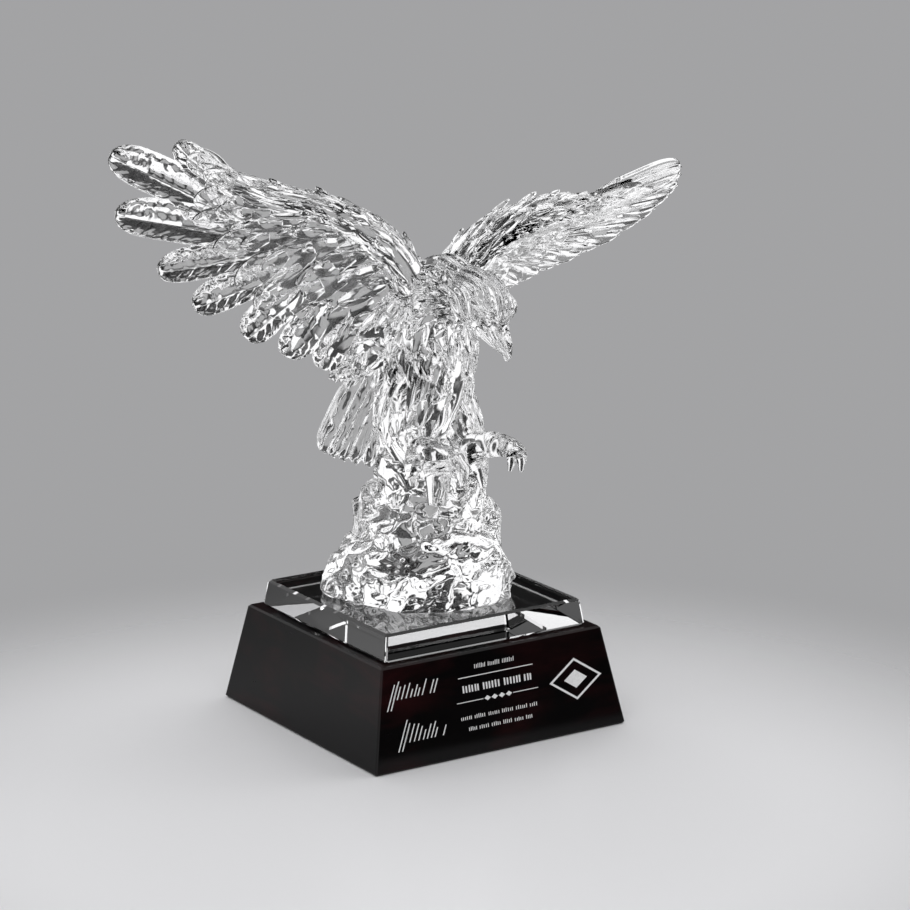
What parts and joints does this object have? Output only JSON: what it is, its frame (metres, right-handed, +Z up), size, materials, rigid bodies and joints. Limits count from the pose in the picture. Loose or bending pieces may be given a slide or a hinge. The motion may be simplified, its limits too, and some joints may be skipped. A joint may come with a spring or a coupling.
{
  "type": "crystal eagle trophy",
  "caption": "Clear crystal eagle with raised wings landing on a rough rock, on a clear square plate and a tapered dark lacquered wood block.",
  "frame": {"origin": "centre of the wood block's underside", "axes": "+Z up; -Y is the block's engraved front face and the way the eagle's breast faces; +X is to the eagle's left"},
  "size_m": [0.3455, 0.1498, 0.3057],
  "materials": {
    "crystal": "clear, moulded and fire polished",
    "plate_crystal": "clear, cut and polished flat",
    "lacquered_wood": "high gloss dark rosewood lacquer"
  },
  "bodies": {
    "root": {"wood_block": "lacquered_wood", "crystal_plate": "plate_crystal", "eagle_on_rock": "crystal"}
  },
  "joints": []
}
